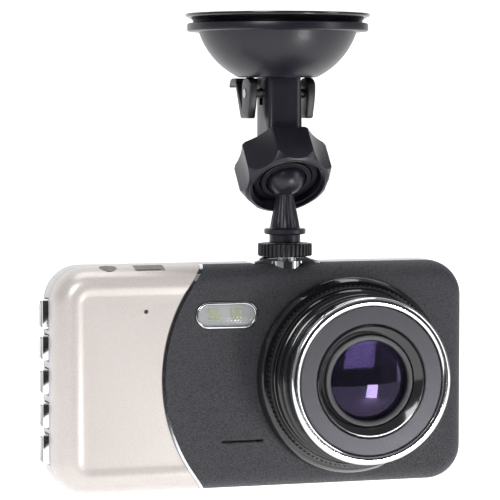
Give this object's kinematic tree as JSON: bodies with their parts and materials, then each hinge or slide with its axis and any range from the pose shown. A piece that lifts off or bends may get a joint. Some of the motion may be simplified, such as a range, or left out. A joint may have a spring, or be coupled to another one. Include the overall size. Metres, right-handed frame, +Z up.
{
  "type": "dash camera",
  "caption": "Dash camera with a wide-angle lens, lamp, rear screen and side keys, on a ball joint and a lever-locked windscreen suction mount",
  "frame": {"origin": "centre of the suction cup's sealing face, where it meets the glass", "axes": "+Z up out of the sealing face into the glass; the casing's long side runs along X, with the keys on -X and the lens towards +X; the lens looks along -Y"},
  "size_m": [0.1156, 0.0562, 0.1265],
  "materials": {
    "mount_plastic": "dark grey-violet moulded nylon, satin",
    "rubber": "black soft vinyl, polished",
    "steel": "plain zinc-plated steel",
    "chrome": "bright chrome plating on plastic",
    "champagne": "champagne-silver painted ABS with a clear coat",
    "silver_plastic": "silver painted ABS",
    "leather_grain": "black ABS moulded with a fine leather grain",
    "gloss_black": "black polished plastic",
    "satin_black": "black satin moulded plastic",
    "graphite": "graphite satin lacquer",
    "optical_glass": "coated optical glass",
    "clear_plastic": "clear prismatic plastic",
    "led": "yellow phosphor",
    "circuit_board": "green solder mask on glass-fibre board",
    "tin": "tinned sheet steel",
    "cell": "foil pouch"
  },
  "bodies": {
    "mount_base": {"suction_cup": "rubber", "dome_housing": "mount_plastic", "mount_arm": "mount_plastic"},
    "pull_rod": {"pull_rod": "satin_black", "lever_pin": "steel"},
    "lever": {"lock_lever": "mount_plastic"},
    "clamp_nut": {"clamp_nut": "mount_plastic"},
    "ball_seat": {"ball_seat": "satin_black"},
    "ball_stud": {"ball_stud": "mount_plastic", "stud_screw": "steel"},
    "thumb_nut": {"thumb_nut": "satin_black"},
    "key_power": {"key_power": "chrome", "key_inlay_power": "gloss_black"},
    "key_menu": {"key_menu": "chrome", "key_inlay_menu": "gloss_black"},
    "key_up": {"key_up": "chrome", "key_inlay_up": "gloss_black"},
    "key_ok": {"key_ok": "chrome", "key_inlay_ok": "gloss_black"},
    "key_down": {"key_down": "chrome", "key_inlay_down": "gloss_black"},
    "camera": {"front_shell": "champagne", "leather_panel": "leather_grain", "panel_trim": "chrome", "mid_frame": "silver_plastic", "rear_cover": "champagne", "tripod_boss": "chrome", "screen_glass": "gloss_black", "lcd_module": "graphite", "lens_tube": "gloss_black", "lens_flange": "gloss_black", "knurled_ring": "satin_black", "lens_chrome_ring": "chrome", "lens_face_ring": "graphite", "lens_inner_cone": "gloss_black", "lens_bezel": "satin_black", "lens_front_glass": "optical_glass", "lens_barrel": "satin_black", "lens_middle_glass": "optical_glass", "lens_rear_glass": "optical_glass", "lens_holder": "satin_black", "image_sensor": "gloss_black", "sensor_board": "circuit_board", "lamp_bezel": "chrome", "lamp_window": "clear_plastic", "lamp_led_left": "led", "lamp_led_right": "led", "lamp_board": "circuit_board", "main_board": "circuit_board", "battery": "cell", "speaker": "satin_black", "microphone": "tin", "usb_socket": "tin", "av_jack": "satin_black", "card_socket": "tin", "key_board": "circuit_board", "cover_screw_top_left": "steel", "cover_screw_top_right": "steel", "cover_screw_bottom_left": "steel", "cover_screw_bottom_right": "steel"}
  },
  "joints": [
    {"name": "pull_rod_slide", "type": "slide", "parent": "mount_base", "child": "pull_rod", "axis": [0, 0, -1], "range_m": [0, 0.0016]},
    {"name": "lever_turn", "type": "hinge", "parent": "pull_rod", "child": "lever", "pos_m": [0, 0, -0.0214], "axis": [-1, 0, 0], "range_deg": [0, 60]},
    {"name": "clamp_nut_turn", "type": "hinge", "parent": "mount_base", "child": "clamp_nut", "pos_m": [0, -0.0065, -0.0433], "axis": [0, -0.6691, -0.7431], "range_deg": [-180, 180]},
    {"name": "ball_swivel", "type": "hinge", "parent": "mount_base", "child": "ball_seat", "pos_m": [0, -0.0065, -0.0433], "axis": [0, -0.6691, -0.7431], "range_deg": [-180, 180]},
    {"name": "ball_tilt", "type": "hinge", "parent": "ball_seat", "child": "ball_stud", "pos_m": [0, -0.0065, -0.0433], "axis": [-1, 0, 0], "range_deg": [-3, 87]},
    {"name": "thumb_nut_turn", "type": "hinge", "parent": "ball_stud", "child": "thumb_nut", "pos_m": [0, -0.0065, -0.063], "axis": [0, 0, 1], "continuous": true},
    {"name": "camera_pan", "type": "hinge", "parent": "ball_stud", "child": "camera", "pos_m": [0, -0.0065, -0.0665], "axis": [0, 0, 1], "range_deg": [-180, 180]},
    {"name": "key_power_press", "type": "slide", "parent": "camera", "child": "key_power", "axis": [1, 0, 0], "range_m": [0, 0.0003], "stiffness_N_per_m": 1500},
    {"name": "key_menu_press", "type": "slide", "parent": "camera", "child": "key_menu", "axis": [1, 0, 0], "range_m": [0, 0.0003], "stiffness_N_per_m": 1500},
    {"name": "key_up_press", "type": "slide", "parent": "camera", "child": "key_up", "axis": [1, 0, 0], "range_m": [0, 0.0003], "stiffness_N_per_m": 1500},
    {"name": "key_ok_press", "type": "slide", "parent": "camera", "child": "key_ok", "axis": [1, 0, 0], "range_m": [0, 0.0003], "stiffness_N_per_m": 1500},
    {"name": "key_down_press", "type": "slide", "parent": "camera", "child": "key_down", "axis": [1, 0, 0], "range_m": [0, 0.0003], "stiffness_N_per_m": 1500}
  ],
  "couplings": [
    {"joint": "lever_turn", "follows": "pull_rod_slide", "rad_per_m": 654.5}
  ]
}
